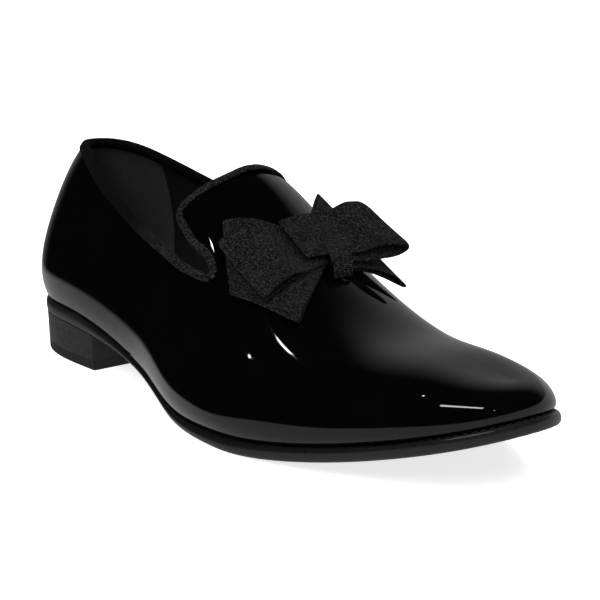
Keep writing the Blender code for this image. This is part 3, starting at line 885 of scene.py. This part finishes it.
def loop_sheet(knot, fold, lifts, openings, hang, overrun, mouth, rounding):
    """A ribbon that leaves the knot, folds at its tip and comes back on top.

    Each point lies between knot and fold by its reach, and above the vamp by a lift that eases from the
    knot's to the fold's, less half the opening on the way out and plus half on the way back. Near the
    knot a cosine across the ribbon adds its gathers, and a high power rounds the corners of the fold.
    """
    w = np.linspace(0, 1, 33)
    knot = np.stack([np.interp(w, (0, 1), column) for column in np.transpose(knot)], -1)
    fold = np.stack([np.interp(w, (0, 0.5, 1), column) for column in np.transpose(fold)], -1)
    straight = 1 - BEND
    bend = np.sin(np.linspace(0, np.pi / 2, 12))
    out = np.concatenate([np.linspace(0, straight, 30)[:-1], straight + BEND * bend])
    opening = openings[0] + (openings[1] - openings[0]) * smooth((out - 0.25) / 0.45)
    closing = openings[1] * np.sqrt(np.clip(1 - ((out - straight) / BEND)**2, 0, 1))
    gape = np.where(out < straight, opening, closing)
    past = np.linspace(0, -overrun, 12)[1:] if overrun else np.empty(0)
    reach = np.concatenate([out, out[::-1][1:], past])
    layer = np.concatenate([-gape, gape[::-1][1:], 0 * past + openings[0]])
    rise = smooth((reach - 0.25) / 0.4)[:, None]
    tip_lift = lifts[1] + (lifts[2] - lifts[1]) * w
    gather = GATHER * np.cos(GATHERS * np.pi * w) * smooth(1 - reach / 0.6)[:, None]
    lift = lifts[0] + (tip_lift - lifts[0]) * rise + layer[:, None] + gather
    corner = 1 - rounding * np.abs(2 * w - 1)[:, None]**CORNER_POWER
    plan = knot + (fold - knot) * corner * reach[:, None, None]
    plan[:len(out), :, 0] += mouth * np.sin(np.pi * out)[:, None] * w
    return on_vamp(plan[..., 0], plan[..., 1], lift, hang)


def cut_size(sheet):
    """Flat width, length and area in metres: the widest row, the longest column and the sum of the
    triangles."""
    length = np.linalg.norm(np.diff(sheet, axis=0), axis=2).sum(0).max()
    width = np.linalg.norm(np.diff(sheet, axis=1), axis=2).sum(1).max()
    a, b, c = (sheet.reshape(-1, 3)[grid_triangles(*sheet.shape[:2])[:, i]] for i in range(3))
    area = np.linalg.norm(np.cross(b - a, c - a), axis=1).sum() / 2
    return (float(width / 1000), float(length / 1000)), float(area / 1e6)


# Painted shade: the bow's colour is darker in the gaps of its weave, paler on ribs and slubs.
bow_finish, slub_and_weave_shade = grosgrain("bow grosgrain", BOW_RIB)
bow_finish.coat(Base_Color=bow_finish.tint(slub_and_weave_shade, BOW_DARK, BOW_PALE))
for loop_name, shape in LOOPS.items():
    sheet = loop_sheet(*shape)
    triangles = grid_triangles(*sheet.shape[:2])
    wall = wall_of(sheet.reshape(-1, 3), triangles, RIBBON / 2, -RIBBON / 2)
    loop = piece(loop_name.replace("bow", "ribbon"), *wall, bow_finish, ribbon_uv(sheet))
    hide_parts(loop_name)
    flat, area = cut_size(sheet)


# Bow band
# A short length of the same ribbon that wraps the gathered front of the bow.
# It bends down over the front edge and is caught on the vamp.
# x and y of its middle on the vamp, lift, half width
BAND = np.array([
    [175.5, 9.6, 6.25, 4.5],
    [178.0, 9.1, 6.25, 4.5],
    [181.0, 8.2, 6.1, 4.4],
    [184.0, 7.2, 5.3, 4.3],
    [186.3, 6.3, 3.9, 4.2],
    [187.6, 5.8, 2.3, 4.2],
    [188.0, 5.6, 0.75, 4.2],
])
band_run = np.concatenate([[0], np.cumsum(np.linalg.norm(np.diff(BAND[:, [0, 2]], axis=0), axis=1))])
fine = np.linspace(0, band_run[-1], 60)
band_x, band_y, band_lift, band_half = (spline(band_run, BAND[:, i])(fine)[:, None] for i in range(4))
w = np.linspace(-1, 1, 25)
band_sheet = on_vamp(band_x + 0 * w, band_y + band_half * w, band_lift + 0 * w)
wall = wall_of(band_sheet.reshape(-1, 3), grid_triangles(*band_sheet.shape[:2]), RIBBON / 2, -RIBBON / 2)
band = piece("ribbon_band", *wall, bow_finish, ribbon_uv(band_sheet))
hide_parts("bow_band")


# Studio
# A plain pale floor under a wide key and a wide fill, with small overhead panels for the highlights.
# In the gloss the surroundings are dark above, pale below the horizon and dim behind the shoe.
# The camera stands low on the little-toe side, ahead of the shoe.
FLOOR = 6.0
SENSOR = 36.0
FOCAL_PIXELS = 1242.74
IMAGE_PIXELS = 600
SHIFT = 0.051
scene = bpy.context.scene
floor_finish = Finish("pale floor")
floor_finish.coat(
    Base_Color=floor_finish.tint(floor_finish.noise(6.0), (0.90, 0.90, 0.90, 1), (0.93, 0.93, 0.93, 1)),
    Roughness=0.9,
    Emission_Color=(1, 1, 1, 1),
    Emission_Strength=0.75,
)
floor_mesh = bpy.data.meshes.new("floor")
corners = [(-FLOOR, -FLOOR, 0), (FLOOR, -FLOOR, 0), (FLOOR, FLOOR, 0), (-FLOOR, FLOOR, 0)]
floor_mesh.from_pydata(corners, [], [(0, 1, 2, 3)])
floor_mesh.materials.append(floor_finish.material)
floor = bpy.data.objects.new("floor", floor_mesh)
scene.collection.objects.link(floor)
floor.visible_glossy = False

world = bpy.data.worlds.new("studio")
scene.world = world
world.use_nodes = True
sky = Nodes(world.node_tree)
toward = sky.node("TexCoord", {}, {}, "Generated")
ahead, aside, above = (sky.node("SeparateXYZ", {}, {"Vector": toward}, axis) for axis in "XYZ")
# Grey of the surroundings in the gloss: dim behind, pale below a horizon that sinks toward the heel
behind = sky.ramp(aside * 0.80 - ahead * 0.58, 0.50, 0.94) * 0.25
horizon = sky.ramp(ahead, -0.85, -0.35, -0.16, 0.26)
below = sky.ramp(above - horizon, -0.05, 0.02, 1.0, 0.0)
gloss = 0.004 + behind + (0.42 - behind) * below
mirrored = sky.node("LightPath", {}, {}, "Is Glossy Ray")
grey = sky.node("CombineColor", {}, {"Red": gloss, "Green": gloss, "Blue": gloss})
shade = sky.tint(mirrored, (0.26, 0.26, 0.26, 1), grey)
shade = sky.tint(sky.node("LightPath", {}, {}, "Is Camera Ray"), shade, (1.1, 1.1, 1.1, 1))
sky.fill(world.node_tree.nodes["Background"], {"Color": shade})


def panel(name, place, run, size, power, target=None):
    """A rectangular soft light: its long side follows run, and it shines down or at a target. Only those
    that shine down show in the gloss."""
    data = bpy.data.lights.new(name, "AREA")
    data.shape = "RECTANGLE"
    data.size, data.size_y = size
    data.energy = power
    lamp = bpy.data.objects.new(name, data)
    scene.collection.objects.link(lamp)
    away = Vector(place) - Vector(target) if target else Vector((0, 0, 1))
    away.normalize()
    across = away.cross(Vector(run)).normalized()
    turned = Matrix((across.cross(away), across, away)).transposed().to_4x4()
    turned.translation = place
    lamp.matrix_world = turned
    lamp.visible_camera = False
    lamp.visible_glossy = target is None


panel("rear spot", (-0.885, -0.66, 1.2), (0.6, 0.8, 0), (0.045, 0.02), 0.07)
panel("side spot", (-0.556, -0.21, 1.2), (1, 0, 0), (0.018, 0.03), 0.045)
panel("front strip", (0.25, -0.36, 1.2), (0.95, 0.30, 0), (0.95, 0.09), 2.9)
panel("toe spot", (1.30, -0.11, 1.2), (1, 0, 0), (0.05, 0.05), 0.12)
panel("key", (0.9, -1.5, 1.7), (1, 0.6, 0), (1.6, 1.2), 26.0, (0, 0, 0.04))
panel("broad fill", (0.4, 0.8, 2.2), (1, 0, 0), (1.8, 1.8), 44.0, (0, 0, 0))

AZIMUTH, ELEVATION, ROLL = np.radians([53.04, 12.98, -1.3])
DISTANCE = 650.0
TARGET = np.array([150.0, 0.0, 40.0])
ENLARGED = 1.34
ahead_of, beside = np.sin(AZIMUTH), -np.cos(AZIMUTH)
to_camera = np.array([ahead_of * np.cos(ELEVATION), beside * np.cos(ELEVATION), np.sin(ELEVATION)])
level = np.array([np.cos(AZIMUTH), np.sin(AZIMUTH), 0.0])
upright = np.cross(to_camera, level)
right = np.cos(ROLL) * level + np.sin(ROLL) * upright
up = -np.sin(ROLL) * level + np.cos(ROLL) * upright
lens = bpy.data.cameras.new("camera")
lens.sensor_width = SENSOR
lens.lens = SENSOR * FOCAL_PIXELS / IMAGE_PIXELS * ENLARGED
lens.shift_x = SHIFT
lens.clip_start = 0.01
camera = bpy.data.objects.new("camera", lens)
scene.collection.objects.link(camera)
turned = np.eye(4)
turned[:3, 0], turned[:3, 1], turned[:3, 2] = right, up, to_camera
turned[:3, 3] = (TARGET + to_camera * DISTANCE - ORIGIN) / 1000
camera.matrix_world = Matrix(turned.tolist())
scene.camera = camera
scene.view_settings.view_transform = "Standard"
